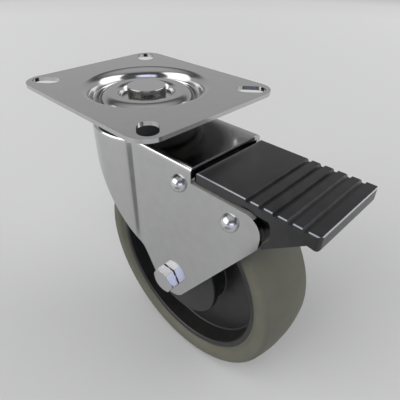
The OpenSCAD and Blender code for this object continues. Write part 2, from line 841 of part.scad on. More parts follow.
module pedal_pin() {
    cross_rivet(pedal_pin, pedal_pin_d);
}

// Rocking sheet over the wheel: its tail lies on the lever's lift bar and its teeth face the ring
module lock_plate() {
    front_x = lock_ring_r + 1;
    tooth_reach = 3;
    tooth_root_gap = 0.7;
    crank_x = lock_pin_x + lock_cheek_r - 0.4;
    crank_run = 5;
    crank_lap = 3;
    tooth_low_z = lock_ring_top_z + lock_tooth_gap;
    plate_top_z = lock_low_z + brake_t;
    arm_half = 9;
    tail_half = 12;
    color("gray")
        difference() {
            union() {
                plate_between(-arm_half, arm_half)
                    polygon([
                        [front_x, lock_low_z], [crank_x, lock_low_z], [crank_x, plate_top_z],
                        [front_x, plate_top_z]
                    ]);
                plate_between(-lock_cheek_out_y, lock_cheek_out_y)
                    translate([lock_pin_x - lock_cheek_r, lock_low_z])
                        square([2 * lock_cheek_r, brake_t]);
                plate_between(-tail_half, tail_half)
                    polygon([
                        [crank_x - crank_lap, lock_low_z], [crank_x, lock_low_z],
                        [crank_x + crank_run, tail_low_z], [tail_end_x, tail_low_z],
                        [tail_end_x, tail_low_z + brake_t],
                        [crank_x + crank_run, tail_low_z + brake_t],
                        [crank_x, plate_top_z], [crank_x - crank_lap, plate_top_z]
                    ]);
                both_sides()
                    plate_between(lock_cheek_in_y, lock_cheek_out_y) {
                        translate(lock_pin) circle(lock_cheek_r);
                        translate([lock_pin_x - lock_cheek_r, lock_pin[1]])
                            square([2 * lock_cheek_r, plate_top_z - lock_pin[1]]);
                    }
                for (i = [-1:1])
                    rotate([0, 0, i * 360 / lock_notches])
                        translate([lock_notch_r + tooth_root_gap, -lock_tooth_w / 2, tooth_low_z])
                            cube([
                                lock_ring_r + tooth_reach - lock_notch_r, lock_tooth_w,
                                plate_top_z - tooth_low_z
                            ]);
            }
            through_legs(lock_pin, lock_pin_d / 2 + run_gap);
        }
}

// Side view of one cheek of the lever: web edge, pin boss, lift bar seat and shoe seat
module lever_cheek() {
    low_z = lever_top_z - brake_t - lever_flange_h;
    polygon([
        [lever_front_x, lever_top_z], [lever_back_x, lever_top_z], [lever_back_x, low_z],
        pedal_pin + lever_back_corner, shoe_c + [shoe_r, 0], shoe_c + [-shoe_r, 0],
        pedal_pin + [-lever_neck, 0], lift_bar + [-lever_bar_boss_r, 0], [lever_front_x, low_z]
    ]);
    translate(pedal_pin) circle(lever_pin_boss_r);
    translate(shoe_c) circle(shoe_r);
    translate(lift_bar) circle(lever_bar_boss_r);
}

// Steel channel under the pedal's moulding, hung on the pedal's pin
module pedal_lever() {
    spacer_r = 5;
    color("gray")
        difference() {
            union() {
                translate([lever_front_x, -cheek_out_y, lever_top_z - brake_t])
                    cube([lever_back_x - lever_front_x, 2 * cheek_out_y, brake_t]);
                both_sides() {
                    plate_between(cheek_in_y, cheek_out_y) lever_cheek();
                    plate_between(cheek_in_y, boss_out_y) translate(pedal_pin) circle(spacer_r);
                }
                plate_between(-cheek_in_y, cheek_in_y) translate(lift_bar) circle(lift_bar_r);
            }
            through_legs(pedal_pin, pedal_pin_d / 2 + run_gap);
        }
}

// Bar between the cheeks whose hollow face meets the tread when the pedal is down
module brake_shoe() {
    color("dimgray")
        plate_between(-cheek_in_y, cheek_in_y)
            difference() {
                translate(shoe_c) circle(shoe_r);
                translate(wheel_down_c) circle(wheel_r + slide_gap);
            }
}

// Side view of the pedal's moulding
module pedal_outline() {
    top = -pedal_top_z;
    polygon(concat(
        [
            [pedal_front_x, cover_low_z], [pedal_front_x, top - edge_chamfer],
            [pedal_front_x + edge_chamfer, top], [pedal_back_x - edge_chamfer, top],
            [pedal_back_x, top - edge_chamfer]
        ],
        arc_points(lip_c, lip_r, 0, lip_end_angle, 10),
        [skirt_high, skirt_low, [nose_x, skirt_low[1]], [nose_x, cover_low_z]]
    ));
}

// Round bay in the pedal's side that clears the leg's rear end all through the swing
module leg_bay() {
    translate(pedal_pin) circle(recess_r);
    translate(bay_c) circle(bay_r);
}

// What the leg's top edge and rounded end sweep, seen from the pedal
module leg_sweep() {
    lift = leg_top_z + slide_gap - pedal_pin[1];
    turned = nose - pedal_pin;
    translate(pedal_pin)
        rotate(pedal_swing) {
            translate([-nose_r, -lift]) square([turned[0] + nose_r, 2 * lift]);
            translate(turned) circle(nose_r + slide_gap);
        }
    translate(pedal_pin) circle(lift);
}

// Moulded foot plate with a grooved top, a lip at its end and deep cheeks beside the legs
module pedal_cover() {
    top = -pedal_top_z;
    under = lever_top_z;
    end_wall = pedal_wall + 0.3;
    inner_back = pedal_back_x - end_wall;
    below = skirt_low[1] - past;
    side_y = boss_out_y;
    color([0.22, 0.22, 0.22])
        difference() {
            intersection() {
                plate_between(-pedal_y, pedal_y) pedal_outline();
                translate([pedal_front_x - past, 0, 0])
                    rotate([90, 0, 90])
                        linear_extrude(height = pedal_back_x - pedal_front_x + 2 * past)
                            polygon([
                                [-pedal_y, below], [pedal_y, below],
                                [pedal_y, top - edge_chamfer], [pedal_y - edge_chamfer, top],
                                [edge_chamfer - pedal_y, top], [-pedal_y, top - edge_chamfer]
                            ]);
                translate([0, 0, below])
                    linear_extrude(height = -skirt_low[1])
                        pedal_plan();
            }
            plate_between(-cover_in_y, cover_in_y)
                polygon([
                    [pedal_front_x + pedal_wall, under], [inner_back, under],
                    [inner_back, lip_c[1] - lip_r - past], [skirt_low[0], below],
                    [pedal_front_x + pedal_wall, below]
                ]);
            both_sides() {
                plate_between(cover_in_y - past, pedal_y + past)
                    intersection() {
                        leg_bay();
                        translate([pedal_front_x, skirt_low[1] - bay_r])
                            square([pedal_back_x - pedal_front_x, cover_low_z - skirt_low[1] + bay_r]);
                    }
                plate_between(side_y, pedal_y + past) leg_sweep();
            }
            for (i = [0:groove_n - 1])
                plate_between(-pedal_y - past, pedal_y + past)
                    translate([first_groove_x + i * groove_pitch, top])
                        polygon([
                            [0, past], [0, 0], [groove_run, -tread_depth],
                            [groove_w, -tread_depth], [groove_w, past]
                        ]);
        }
}

// Plan of the pedal with its two rear corners rounded
module pedal_plan() {
    r = plan_corner_r;
    translate([pedal_front_x, -pedal_y]) square([pedal_back_x - pedal_front_x - r, pedal_wid]);
    translate([pedal_front_x, r - pedal_y]) square([pedal_back_x - pedal_front_x, pedal_wid - 2 * r]);
    for (s = [-1, 1])
        translate([pedal_back_x - r, s * (pedal_y - r)]) circle(r);
}

top_plate();
kingpin();
kingpin_nut();
lower_race();
lock_ring();
fork();
upper_race();
upper_balls();
lower_balls();
dust_seal();
axle_bolt();
axle_nut();
axle_sleeve();
thread_guard_near();
thread_guard_far();
bearing_inner_near();
bearing_inner_far();
bearing_outer_near();
bearing_outer_far();
bearing_balls_near();
bearing_balls_far();
bearing_seals();
rim();
tyre();
lock_pin();
lock_plate();
pedal_pin();
pedal_lever();
pedal_cover();
brake_shoe();
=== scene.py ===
# %% [markdown]
# # A swivel castor with a foot brake
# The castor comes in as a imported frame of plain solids, in metres, with its joints already known.
# Each solid stays where the frame has it. This script gives every visible piece its edges,
# its smooth curves and its finish, and builds the small studio the castor stands in.

# %% Load the frame
import json
import math
import bmesh
import bpy
from mathutils import Matrix, Vector

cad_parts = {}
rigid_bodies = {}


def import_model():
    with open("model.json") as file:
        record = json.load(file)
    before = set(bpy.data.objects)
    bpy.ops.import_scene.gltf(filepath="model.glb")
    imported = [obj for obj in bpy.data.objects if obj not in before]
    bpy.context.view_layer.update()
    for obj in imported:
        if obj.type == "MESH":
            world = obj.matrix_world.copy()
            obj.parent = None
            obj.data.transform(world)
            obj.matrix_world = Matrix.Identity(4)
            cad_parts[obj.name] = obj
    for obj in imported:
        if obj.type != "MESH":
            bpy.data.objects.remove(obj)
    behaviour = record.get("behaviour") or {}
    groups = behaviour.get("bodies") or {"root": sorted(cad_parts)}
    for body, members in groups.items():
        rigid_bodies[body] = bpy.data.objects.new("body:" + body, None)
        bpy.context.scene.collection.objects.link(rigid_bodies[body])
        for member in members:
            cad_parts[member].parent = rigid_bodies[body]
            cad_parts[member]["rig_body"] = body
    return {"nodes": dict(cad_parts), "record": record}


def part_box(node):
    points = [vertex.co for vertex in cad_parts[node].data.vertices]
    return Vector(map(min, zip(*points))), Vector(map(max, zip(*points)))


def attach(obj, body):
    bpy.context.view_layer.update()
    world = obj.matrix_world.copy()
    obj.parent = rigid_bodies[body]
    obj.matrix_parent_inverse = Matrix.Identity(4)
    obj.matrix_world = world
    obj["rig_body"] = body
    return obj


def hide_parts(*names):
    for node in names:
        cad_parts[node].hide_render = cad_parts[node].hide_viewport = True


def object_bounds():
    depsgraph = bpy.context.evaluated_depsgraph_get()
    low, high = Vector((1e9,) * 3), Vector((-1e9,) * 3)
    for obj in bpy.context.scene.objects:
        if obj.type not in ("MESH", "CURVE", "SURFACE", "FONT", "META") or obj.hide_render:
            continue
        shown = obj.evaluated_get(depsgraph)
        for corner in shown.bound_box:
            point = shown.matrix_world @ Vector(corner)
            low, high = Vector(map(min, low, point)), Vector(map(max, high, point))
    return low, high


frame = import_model()
cad_low, cad_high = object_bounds()
MM = 0.001
scene = bpy.context.scene
print("solids:", len(frame["nodes"]), "box (mm):", [round(v / MM, 1) for v in cad_high - cad_low])

# %% [markdown]
# ## Camera
# A product picture is taken from above and from one corner, fairly close, so the near corner of the
# plate looks large. A camera can be placed by a matrix or by an empty that it tracks. Here it is placed
# by two angles round the castor, a small lean and a position, which are easy to read and to change.

# %% Camera
CAMERA_AZIMUTH, CAMERA_ELEVATION, CAMERA_LEAN = 44.124, 35.381, 0.623
CAMERA_PLACE_MM = Vector((148.749, -114.148, 61.56))
SENSOR_MM, FOCAL_PIXELS, FRAME_PIXELS = 36.0, 375.377, 400
NEAREST_M, FARTHEST_M = 0.01, 20


def camera_matrix(azimuth, elevation, lean, place):
    a, e, r = (math.radians(v) for v in (azimuth, elevation, lean))
    back = Vector((math.sin(a) * math.cos(e), -math.cos(a) * math.cos(e), math.sin(e)))
    level = Vector((math.cos(a), math.sin(a), 0))
    upright = back.cross(level)
    right = math.cos(r) * level + math.sin(r) * upright
    up = -math.sin(r) * level + math.cos(r) * upright
    matrix = Matrix((right, up, back)).transposed().to_4x4()
    matrix.translation = place
    return matrix


camera_data = bpy.data.cameras.new("camera")
camera_data.sensor_width = SENSOR_MM
camera_data.lens = FOCAL_PIXELS / FRAME_PIXELS * SENSOR_MM
camera_data.clip_start, camera_data.clip_end = NEAREST_M, FARTHEST_M
camera = bpy.data.objects.new("camera", camera_data)
scene.collection.objects.link(camera)
camera.matrix_world = camera_matrix(CAMERA_AZIMUTH, CAMERA_ELEVATION, CAMERA_LEAN, CAMERA_PLACE_MM * MM)
scene.camera = camera
print("lens:", round(camera_data.lens, 2), "mm")


# %% [markdown]
# ## Colours and shader nodes
# Colours are written as the hex values a screen shows, and one function turns them into the linear
# light values that a shader works with. A second small function adds a shader node, sets it and
# links its inputs, so each material reads as a short list of what makes the surface.

# %% Colour and node helpers
def linear(hex_colour, alpha=1.0):
    """The sRGB curve undone, so that a shader gets amounts of light."""
    channels = [int(hex_colour[i : i + 2], 16) / 255 for i in (1, 3, 5)]
    return [c / 12.92 if c <= 0.04045 else ((c + 0.055) / 1.055) ** 2.4 for c in channels] + [alpha]


def add_node(tree, kind, inputs=(), **settings):
    node = tree.nodes.new(kind)
    for name, value in settings.items():
        setattr(node, name, value)
    for socket, value in dict(inputs).items():
        if isinstance(value, bpy.types.NodeSocket):
            tree.links.new(value, node.inputs[socket])
        else:
            node.inputs[socket].default_value = value
    return node


def new_material(name, metallic, roughness=0.5, colour="#808080"):
    material = bpy.data.materials.new(name)
    material.use_nodes = True
    tree = material.node_tree
    shader = tree.nodes["Principled BSDF"]
    shader.inputs["Base Color"].default_value = linear(colour)
    shader.inputs["Metallic"].default_value = metallic
    shader.inputs["Roughness"].default_value = roughness
    return material, tree, shader


# %% [markdown]
# ## A pattern with a real size
# No real surface is even, and every finish here gets its unevenness from noise. The noise could be
# scaled by eye, but a grain of a known size in millimetres is easier to judge. Object coordinates are
# in metres here, so a grain of so many millimetres is a scale of one over that length.

# %% Noise measured in millimetres
def grain(tree, size_mm, stretch=(1, 1, 1), detail=2.0, rough=0.5):
    place = add_node(tree, "ShaderNodeTexCoord")
    lengths = [1 / (size_mm * MM * s) for s in stretch]
    mapped = add_node(tree, "ShaderNodeMapping", {"Vector": place.outputs["Object"], "Scale": lengths})
    noise = add_node(tree, "ShaderNodeTexNoise", {
        "Vector": mapped.outputs["Vector"], "Scale": 1.0, "Detail": detail, "Roughness": rough})
    return noise.outputs["Fac"]


# %% [markdown]
# A pattern reaches the eye in three ways: the shine wanders, the colour is mottled, or the surface
# is dented, by a few hundredths of a millimetre at most. Noise stays mostly in the middle of its
# range, so that middle is what gets spread over the wanted values.

# %% Uneven shine, colour and surface
NOISE_LOW, NOISE_HIGH = 0.3, 0.7


def uneven_shine(tree, shader, pattern, low, high):
    """Roughness that wanders from low to high with a pattern."""
    roughness = add_node(tree, "ShaderNodeMapRange", {
        "Value": pattern, "From Min": NOISE_LOW, "From Max": NOISE_HIGH, "To Min": low, "To Max": high})
    tree.links.new(roughness.outputs["Result"], shader.inputs["Roughness"])


def mottled(tree, pattern, dark, light):
    """A colour that goes from dark to light with a pattern."""
    share = add_node(tree, "ShaderNodeMapRange", {
        "Value": pattern, "From Min": NOISE_LOW, "From Max": NOISE_HIGH})
    mix = add_node(tree, "ShaderNodeMix", {
        "Factor": share.outputs["Result"], "A": linear(dark), "B": linear(light)}, data_type="RGBA")
    return mix.outputs["Result"]


def dented(tree, shader, patterns, depth_mm):
    """Shallow bumps from one or more patterns, laid over each other."""
    normal = None
    for pattern in patterns:
        inputs = {"Height": pattern, "Strength": 1.0, "Distance": depth_mm * MM}
        if normal:
            inputs["Normal"] = normal
        normal = add_node(tree, "ShaderNodeBump", inputs).outputs["Normal"]
    tree.links.new(normal, shader.inputs["Normal"])


# %% [markdown]
# ## Bright zinc on pressed sheet
# The plate and the fork are cold-rolled sheet, pressed and then plated with bright zinc. The plating
# is almost a mirror, and what tells it from chrome is a faint haze, soft rolling lines that run along
# the sheet, and a slight orange-peel waviness that makes reflections swim. Real rolling lines are
# finer than the render can show, so they are drawn about a third of a millimetre apart.

# %% Zinc-plated sheet
def zinc_plated_sheet():
    material, tree, shader = new_material("zinc_plated_sheet", metallic=1.0)
    haze = grain(tree, size_mm=6.0, detail=3)
    rolling_lines = grain(tree, size_mm=0.35, stretch=(14, 1, 14), detail=2)
    orange_peel = grain(tree, size_mm=5.0, detail=1)
    uneven_shine(tree, shader, haze, 0.12, 0.17)
    tree.links.new(mottled(tree, rolling_lines, "#bcbcbd", "#c1c1c0"), shader.inputs["Base Color"])
    dented(tree, shader, [orange_peel, rolling_lines], depth_mm=0.0003)
    return material


# %% [markdown]
# ## Zinc with painted shade
# The underside of the plate is the same zinc, with painted shade in its colour: dull and dark near the
# swivel axis, where little light reaches under the plate, and clean plating towards the corners. A painted
# mask could show this, but the distance from the axis is enough. The bright top of the fork mirrors that
# dark round shape.

# %% Painted shade that thins out
def painted_shade_zinc(name, shaded_mm, unshaded_mm):
    """Zinc with painted shade that thins out between two radii round the swivel axis."""
    material, tree, shader = new_material(name, metallic=1.0)
    place = add_node(tree, "ShaderNodeTexCoord").outputs["Object"]
    level = add_node(tree, "ShaderNodeVectorMath", {0: place, 1: (1, 1, 0)}, operation="MULTIPLY")
    radius = add_node(tree, "ShaderNodeVectorMath", {0: level.outputs["Vector"]}, operation="LENGTH")
    unshaded_share = add_node(tree, "ShaderNodeMapRange", {
        "Value": radius.outputs["Value"], "From Min": shaded_mm * MM, "From Max": unshaded_mm * MM})
    shine = add_node(tree, "ShaderNodeMapRange", {
        "Value": unshaded_share.outputs["Result"], "To Min": 0.42, "To Max": 0.15})
    # Painted shade: a dark mottled colour near the axis, blending into clean zinc further out.
    shade_colour = mottled(tree, grain(tree, size_mm=7.0, detail=4), "#262625", "#3a3a38")
    colour = add_node(tree, "ShaderNodeMix", {
        "Factor": unshaded_share.outputs["Result"], "A": shade_colour, "B": linear("#b4b4b3")}, data_type="RGBA")
    tree.links.new(shine.outputs["Result"], shader.inputs["Roughness"])
    tree.links.new(colour.outputs["Result"], shader.inputs["Base Color"])
    dented(tree, shader, [grain(tree, size_mm=1.5, detail=3)], depth_mm=0.001)
    return material


# %% [markdown]
# ## Sheared edge
# Where the sheet was sheared, its edge is torn rather than rolled. Zinc covers it too, but the grainy
# surface scatters light, so a cut edge looks evenly grey where the faces beside it look black or white.
# A metallic value below one gives that scatter, which roughness alone doesn't.

# %% Sheared edge of the sheet
def sheared_edge():
    material, tree, shader = new_material("sheared_zinc_edge", metallic=0.6)
    torn = grain(tree, size_mm=0.5, detail=4, rough=0.65)
    uneven_shine(tree, shader, torn, 0.36, 0.52)
    tree.links.new(mottled(tree, torn, "#a2a2a0", "#bcbcba"), shader.inputs["Base Color"])
    dented(tree, shader, [torn], depth_mm=0.02)
    return material


# %% [markdown]
# ## Turned and headed steel
# The kingpin's head, the bolt and the nuts are cold-formed or turned and then plated. Their reflections
# are sharper than the sheet's. The rivet heads are pressed in a die, which leaves them a little softer
# but brighter. One function serves them all, because only the colour and the shine differ.

# %% Bright steel parts
def turned_steel(name, colour, low, high):
    material, tree, shader = new_material(name, metallic=1.0, colour=colour)
    uneven_shine(tree, shader, grain(tree, size_mm=1.4, detail=3), low, high)
    dented(tree, shader, [grain(tree, size_mm=1.0, detail=2)], depth_mm=0.0004)
    return material


# %% [markdown]
# ## Phosphated steel
# The brake's own steel, under the pedal, is phosphated: a black coat of small crystals that drinks
# light. Under the cover it should read as a dark shape with only a hint of metal, so its colour
# stays dark and its shine wide.

# %% Phosphated steel under the pedal
def phosphated_steel():
    material, tree, shader = new_material("phosphated_steel", metallic=1.0)
    crystals = grain(tree, size_mm=2.5, detail=4)
    uneven_shine(tree, shader, crystals, 0.42, 0.6)
    tree.links.new(mottled(tree, crystals, "#1f1f1f", "#333332"), shader.inputs["Base Color"])
    dented(tree, shader, [grain(tree, size_mm=0.3, detail=2)], depth_mm=0.004)
    return material


# %% [markdown]
# ## Moulded nylon
# The wheel body and the pedal are glass-filled nylon out of a spark-eroded mould. The mould leaves a
# fine, even pebble that softens the shine, and the black has a little grey in it from the glass. The
# real pebble is under a tenth of a millimetre, and it is drawn at about a third so that it shows.

# %% Nylon
NYLON_IOR = 1.53


def moulded_nylon(name, dark, light, low, high, pebble_mm=0.3, shine=0.5):
    material, tree, shader = new_material(name, metallic=0.0)
    cloud = grain(tree, size_mm=5.0, detail=3)
    tree.links.new(mottled(tree, cloud, dark, light), shader.inputs["Base Color"])
    uneven_shine(tree, shader, cloud, low, high)
    dented(tree, shader, [grain(tree, size_mm=pebble_mm, detail=2)], depth_mm=0.003)
    shader.inputs["IOR"].default_value = NYLON_IOR
    shader.inputs["Specular IOR Level"].default_value = shine
    return material


# %% [markdown]
# ## Rubber
# The tyre is grey elastic rubber. It is matt, a little warm in colour, and its skin is dusty: fine
# specks where the mould released and a faint mottle from wiping. The seal rings are plain black rubber.

# %% Rubber
RUBBER_IOR = 1.5


def elastic_rubber(name, dark, light, roughness, speck_mm):
    material, tree, shader = new_material(name, metallic=0.0)
    mottle = grain(tree, size_mm=9.0, detail=4)
    specks = grain(tree, size_mm=speck_mm, detail=3, rough=0.7)
    both = add_node(tree, "ShaderNodeMath", {0: mottle, 1: specks}, operation="ADD").outputs["Value"]
    half = add_node(tree, "ShaderNodeMath", {0: both, 1: 0.5}, operation="MULTIPLY").outputs["Value"]
    tree.links.new(mottled(tree, half, dark, light), shader.inputs["Base Color"])
    uneven_shine(tree, shader, specks, roughness - 0.06, roughness + 0.1)
    dented(tree, shader, [specks], depth_mm=0.02)
    shader.inputs["IOR"].default_value = RUBBER_IOR
    return material


# %% [markdown]
# ## Which finish goes where
# Each piece in the frame names a slot, such as zinc sheet or tyre rubber, and each slot gets one
# finish here. A few finishes are extra, for parts of a piece that look different from the rest of it.

# %% Finishes by slot
# Nearly a mirror, with a haze.
zinc = zinc_plated_sheet()
# Painted shade: dark and dull in the middle of the plate's underside.
underside_shade_zinc = painted_shade_zinc("painted_shade_zinc", shaded_mm=39, unshaded_mm=51)
# The same painted shade all over, for the fork's edges that face the pedal.
edge_shade_zinc = painted_shade_zinc("painted_shade_zinc_edge", shaded_mm=200, unshaded_mm=300)
# Evenly grey from every side.
cut = sheared_edge()
# Crisp reflections, then softer ones, then the kingpin's side with painted shade, then ground bearing
# steel.
bright = turned_steel("bright_turned_steel", "#c6c6c8", 0.08, 0.16)
rivet_steel = turned_steel("headed_rivet_steel", "#cacacc", 0.2, 0.26)
kingpin_side_shade = turned_steel("kingpin_side_painted_shade", "#9c9a96", 0.2, 0.28)
ball_steel = turned_steel("ground_ball_steel", "#c8c8ca", 0.05, 0.09)
# Almost black, with a dull glint.
brake_steel = phosphated_steel()
# Black with a satin shine, and paler nylon with painted highlight and painted light for the pedal's edges
# and groove walls.
hub_nylon = moulded_nylon("wheel_nylon", "#141413", "#1a1a19", 0.38, 0.48, pebble_mm=0.35)
pedal_nylon = moulded_nylon("pedal_nylon", "#202021", "#272728", 0.28, 0.35)
painted_highlight_nylon = moulded_nylon("painted_highlight_nylon_edge", "#6c6e78", "#7c7e88", 0.16, 0.22, shine=1.0)
painted_light_nylon = moulded_nylon("painted_light_nylon", "#3c3d40", "#48494c", 0.4, 0.5)
# Warm dusty grey, and plain black.
tyre_rubber = elastic_rubber("grey_tyre_rubber", "#545448", "#5e5e51", roughness=0.62, speck_mm=0.4)
seal_rubber = elastic_rubber("black_seal_rubber", "#1a1a1a", "#232323", roughness=0.55, speck_mm=0.3)
by_slot = {
    "zinc_sheet": zinc, "bright_steel": bright, "rivet_steel": rivet_steel, "ball_steel": ball_steel,
    "brake_steel": brake_steel, "hub_plastic": hub_nylon, "pedal_plastic": pedal_nylon,
    "seal_rubber": seal_rubber, "tyre_rubber": tyre_rubber,
}
slot_of = {p["node"]: p["material_slot"] for p in frame["record"]["subparts"]}
print("slots:", sorted(set(slot_of.values())))


# %% [markdown]
# ## Parts of a piece
# One sheet of steel shows three finishes: its faces, its sheared edges and its side with painted shade.
# They could be picked by hand in the editor, but a rule is surer. An edge is sharp where two faces meet at
# an angle, and faces that run into each other with no sharp edge between make one region, such as the whole
# top of the plate with its dish.

# %% Regions between sharp edges
def smooth_regions(shape):
    """Groups of faces with no sharp edge between them, the largest first."""
    waiting, regions = set(shape.faces), []
    for start in shape.faces:
        if start not in waiting:
            continue
        waiting.remove(start)
        region, queue = [], [start]
        while queue:
            face = queue.pop()
            region.append(face)
            for other in (f for e in face.edges if e.smooth for f in e.link_faces):
                if other in waiting:
                    waiting.remove(other)
                    queue.append(other)
        regions.append(region)
    return sorted(regions, key=lambda faces: -sum(f.calc_area() for f in faces))


# %% [markdown]
# The two largest regions of a pressed sheet are its two sides. On the plate, the lower of them gets painted
# shade. On the fork, all other regions are edges: sheared ones, and those that face the pedal, which get
# painted shade where they lie in the pedal's shadow. Only its top edge, above the notch, stays bright.

# %% Sides and edges of the pressed sheets
NOTCH_MM = -19
FACES_PEDAL = 0.5


def mean_height(faces):
    return sum(f.calc_center_median().z * f.calc_area() for f in faces) / sum(f.calc_area() for f in faces)


# The lower side of the plate gets painted shade.
def plate_underside(shape):
    return [(underside_shade_zinc, min(smooth_regions(shape)[:2], key=mean_height))]


# The fork's edges that face the pedal, below the notch, get painted shade.
def fork_edges(shape):
    edge_faces = [face for region in smooth_regions(shape)[2:] for face in region]
    sheared = [face for face in edge_faces if face.normal.x < FACES_PEDAL]
    towards_pedal = [face for face in edge_faces if face.normal.x >= FACES_PEDAL]
    shaded_low_edges = [face for face in towards_pedal if face.calc_center_median().z < NOTCH_MM * MM]
    return [(cut, sheared), (edge_shade_zinc, shaded_low_edges)]


# %% [markdown]
# The pedal's near and end chamfers get a thin pale bluish line of painted highlight. The far chamfers, and
# the walls of the grooves nearest the end, get a fainter painted light. A chamfer and a groove's wall are
# told apart by how far their faces lean, which is the height of the face's normal. The side of the
# kingpin's head gets a greyer, duller steel than its top: painted shade.

# %% Painted light on the pedal and painted shade on the side of the kingpin
CHAMFER_LEAN, WALL_LEAN = (0.55, 0.85), (0.2, 0.55)
LIT_END_MM = 17
STEEP = 0.5
TOWARDS_END = 0.8


# Painted highlight on the pedal's chamfers, and painted light on its far chamfers and end groove walls.
def pedal_painted_light(shape):
    lit_from = max(vertex.co.x for vertex in shape.verts) - LIT_END_MM * MM
    chamfers = [f for f in shape.faces
                if CHAMFER_LEAN[0] < f.normal.z < CHAMFER_LEAN[1] and abs(f.normal.x) < TOWARDS_END]
    far_chamfers = [f for f in chamfers if f.normal.y > STEEP]
    lit_groove_walls = [f for f in shape.faces
                  if WALL_LEAN[0] < f.normal.z < WALL_LEAN[1] and f.normal.x > STEEP
                  and f.calc_center_median().x > lit_from]
    return [(painted_highlight_nylon, chamfers), (painted_light_nylon, lit_groove_walls + far_chamfers)]


# Painted shade on the side of the kingpin's head.
def kingpin_side(shape):
    return [(kingpin_side_shade, [f for f in shape.faces if abs(f.normal.z) < STEEP])]


OTHER_FINISHES = {
    "top_plate": plate_underside, "fork": fork_edges, "pedal_cover": pedal_painted_light, "kingpin": kingpin_side}

# %% [markdown]
# ## Spinning a section
# Rivets and threads are round, so they are made as on a lathe: half of a section is drawn once and
# spun about an axis. A cylinder with loop cuts would do too, but a section states the radii outright.
# After a full turn the doubles on the axis are merged and the faces are turned outwards.

# %% Section spun about an axis along Y
MERGE_MM = 0.002
AXIS_MERGE_MM = 0.0005
SPIN_STEPS = 72


def spin_section(shape, section, centre):
    """Spins (radius, y) points, in metres, about an axis along Y through a point."""
    points = [shape.verts.new((centre.x + r, y, centre.z)) for r, y in section]
    edges = [shape.edges.new(pair) for pair in zip(points, points[1:])]
    bmesh.ops.spin(
        shape, geom=points + edges, cent=centre, axis=(0, 1, 0), angle=math.tau, steps=SPIN_STEPS,
        use_merge=True)
    bmesh.ops.remove_doubles(shape, verts=shape.verts, dist=AXIS_MERGE_MM * MM)
    bmesh.ops.recalc_face_normals(shape, faces=shape.faces)


# %% [markdown]
# ## The bolt's thread
# The end of the axle bolt shows past its nut, and its thread is too fine for the frame. The plain end
# is cut off inside the nut, and a length of thread is spun in its place. Rings stand for the helix,
# because on a turn or two of thread nobody can tell them apart.

# %% Threaded end of the axle bolt
THREAD_PITCH_MM, THREAD_CREST_MM, THREAD_ROOT_MM = 1.25, 3.96, 3.35
THREAD_HIDDEN_MM = 1.0
CREST_FROM, CREST_TO = 0.45, 0.55
ON_PLANE = 1e-7


def threaded_end(shape):
    nut_low, nut_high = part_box("axle_nut")
    axis = (nut_low + nut_high) / 2
    start, end = nut_high.y - THREAD_HIDDEN_MM * MM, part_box("axle_bolt")[1].y
    everything = [*shape.verts, *shape.edges, *shape.faces]
    bmesh.ops.bisect_plane(
        shape, geom=everything, dist=ON_PLANE, plane_co=(0, start, 0), plane_no=(0, 1, 0),
        clear_outer=True)
    bmesh.ops.holes_fill(shape, edges=[edge for edge in shape.edges if edge.is_boundary], sides=0)
    crest, root, pitch = THREAD_CREST_MM * MM, THREAD_ROOT_MM * MM, THREAD_PITCH_MM * MM
    section, y = [(0, start), (root, start)], start
    while y + pitch < end - (crest - root) / 2:
        section += [(crest, y + pitch * CREST_FROM), (crest, y + pitch * CREST_TO), (root, y + pitch)]
        y += pitch
    section += [(root, end), (0, end)]
    spin_section(shape, section, Vector((axis.x, 0, axis.z)))
    print("thread rings:", round((y - start) / pitch))


NEW_SHAPES = {"axle_bolt": threaded_end}


# %% [markdown]
# ## From solids to finished pieces
# A solid from the frame is a mesh of loose triangles with razor edges. The real pieces have small
# radii where they were moulded, turned or tumbled, and those radii catch the light. A copy of the mesh
# is merged, its flat faces are joined, and its edges are bevelled. Marking an edge sharp where two
# faces meet at an angle keeps curved walls smooth and corners crisp.

# %% Smooth and sharp edges, and a piece's place
SHARP_DEGREES = 30


def mark_sharp_edges(shape):
    for face in shape.faces:
        face.smooth = True
    for edge in shape.edges:
        edge.smooth = not (edge.is_manifold and edge.calc_face_angle(0) > math.radians(SHARP_DEGREES))


def place_piece(node, mesh, shape):
    shape.to_mesh(mesh)
    shape.free()
    piece = bpy.data.objects.new(node + "_finished", mesh)
    scene.collection.objects.link(piece)
    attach(piece, frame["nodes"][node]["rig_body"])
    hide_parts(node)
    print(node, "faces:", len(mesh.polygons))
    return piece


# %% [markdown]
# The bevel could be cut into the mesh, but as a modifier its width stays one number. Weighted normals
# come after it and keep flat faces flat in reflections, because the large faces then decide the
# shading at a shared corner.

# %% Finished copy of a solid
FLAT_DEGREES = 0.3
BEVEL_SEGMENTS = 2


def finished(node, bevel_mm):
    mesh = frame["nodes"][node].data.copy()
    mesh.name = node + "_finished"
    mesh.materials.clear()
    shape = bmesh.new()
    shape.from_mesh(mesh)
    bmesh.ops.remove_doubles(shape, verts=shape.verts, dist=MERGE_MM * MM)
    bmesh.ops.dissolve_limit(
        shape, angle_limit=math.radians(FLAT_DEGREES), verts=shape.verts, edges=shape.edges)
    if node in NEW_SHAPES:
        NEW_SHAPES[node](shape)
    mark_sharp_edges(shape)
    mesh.materials.append(by_slot[slot_of[node]])
    for other_finish, faces in OTHER_FINISHES[node](shape) if node in OTHER_FINISHES else []:
        mesh.materials.append(other_finish)
        for face in faces:
            face.material_index = len(mesh.materials) - 1
    piece = place_piece(node, mesh, shape)
    if bevel_mm:
        bevel = piece.modifiers.new("edges", "BEVEL")
        bevel.width = bevel_mm * MM
        bevel.segments = BEVEL_SEGMENTS
        bevel.limit_method = "ANGLE"
        bevel.angle_limit = math.radians(SHARP_DEGREES)
    weighted = piece.modifiers.new("flat_faces_first", "WEIGHTED_NORMAL")
    weighted.keep_sharp = True


